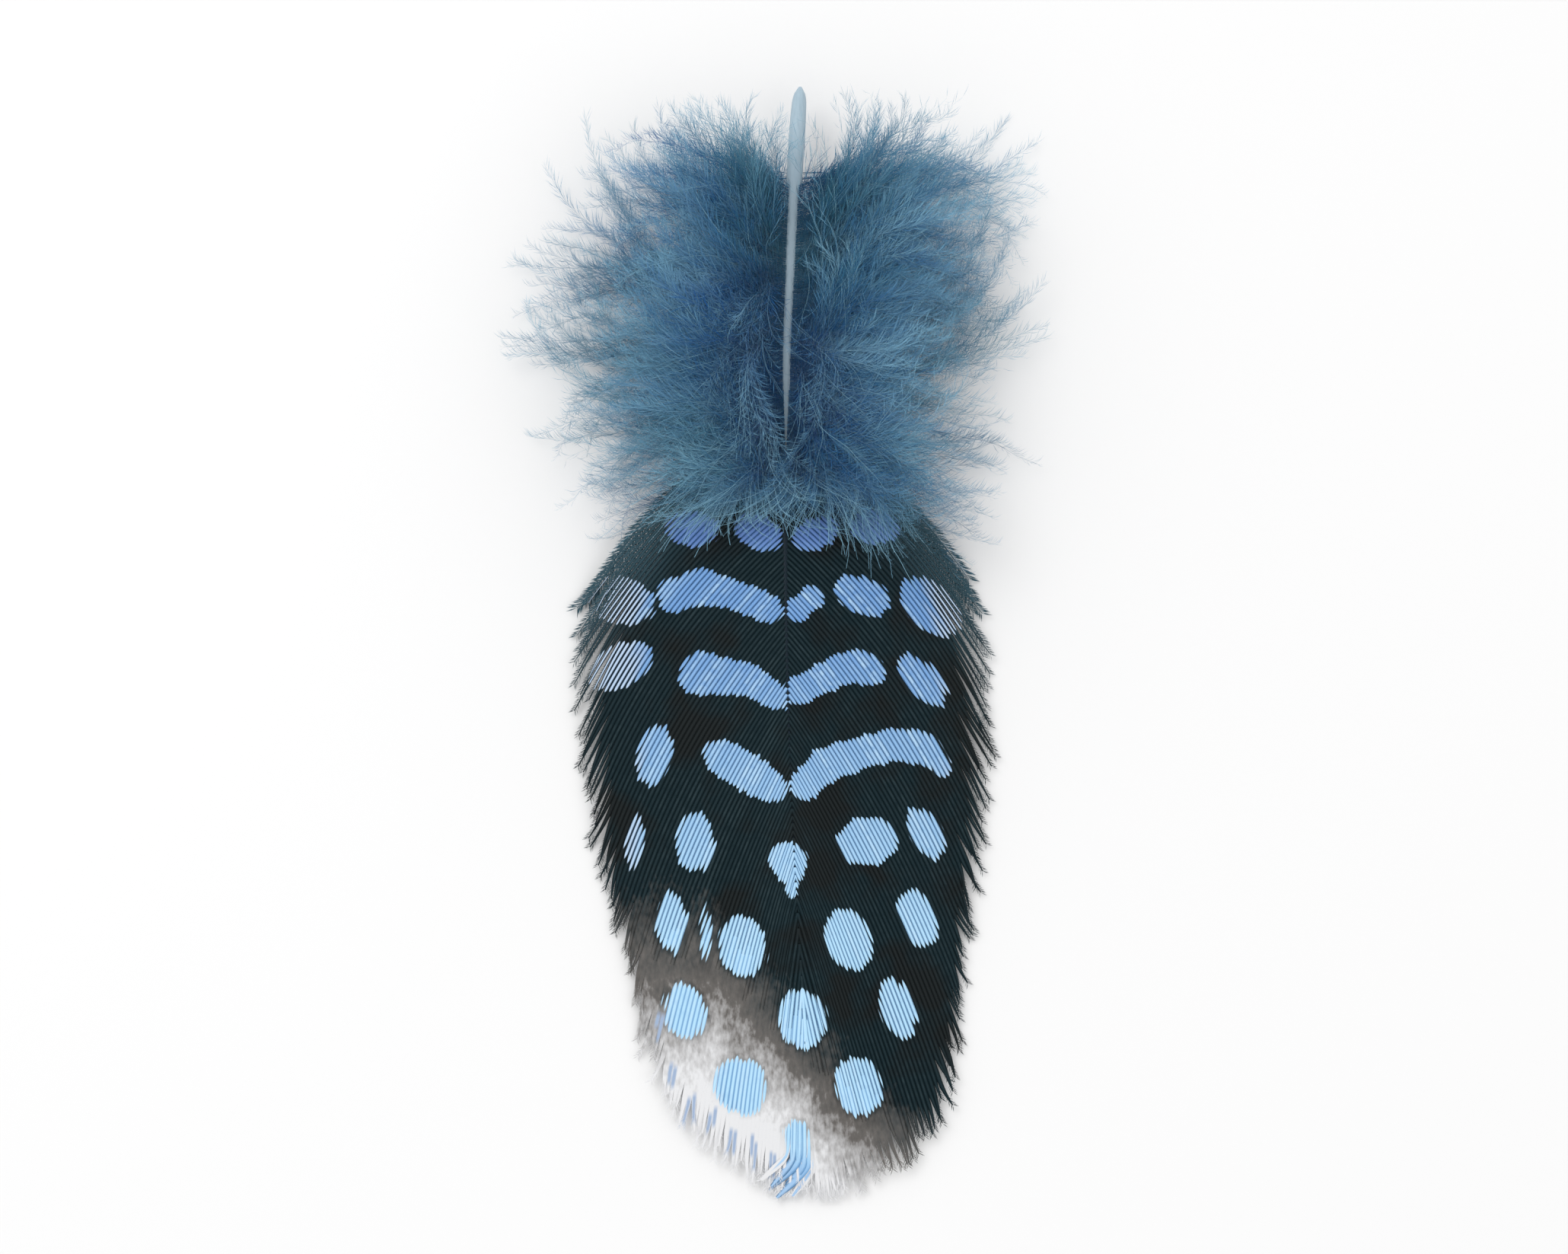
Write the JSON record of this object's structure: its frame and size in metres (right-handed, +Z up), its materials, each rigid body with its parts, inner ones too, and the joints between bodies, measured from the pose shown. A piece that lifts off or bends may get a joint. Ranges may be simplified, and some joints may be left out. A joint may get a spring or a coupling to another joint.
{
  "type": "guinea fowl feather",
  "caption": "Guinea fowl body feather dyed blue, with pale blue spots on dark vanes and fluffy down at its base, lying with its patterned side up.",
  "frame": {"origin": "on the surface that the feather lies on, under the middle of its box", "axes": "+Z up, patterned side up; +Y along the shaft to the quill, -Y to the tip of the vane; +X to the right of the vane seen from above with the tip nearest"},
  "size_m": [0.048, 0.0901, 0.0132],
  "materials": {
    "vane": "matte",
    "down": "matte",
    "quill": "satin"
  },
  "bodies": {
    "root": {"feather": "vane"}
  },
  "joints": []
}
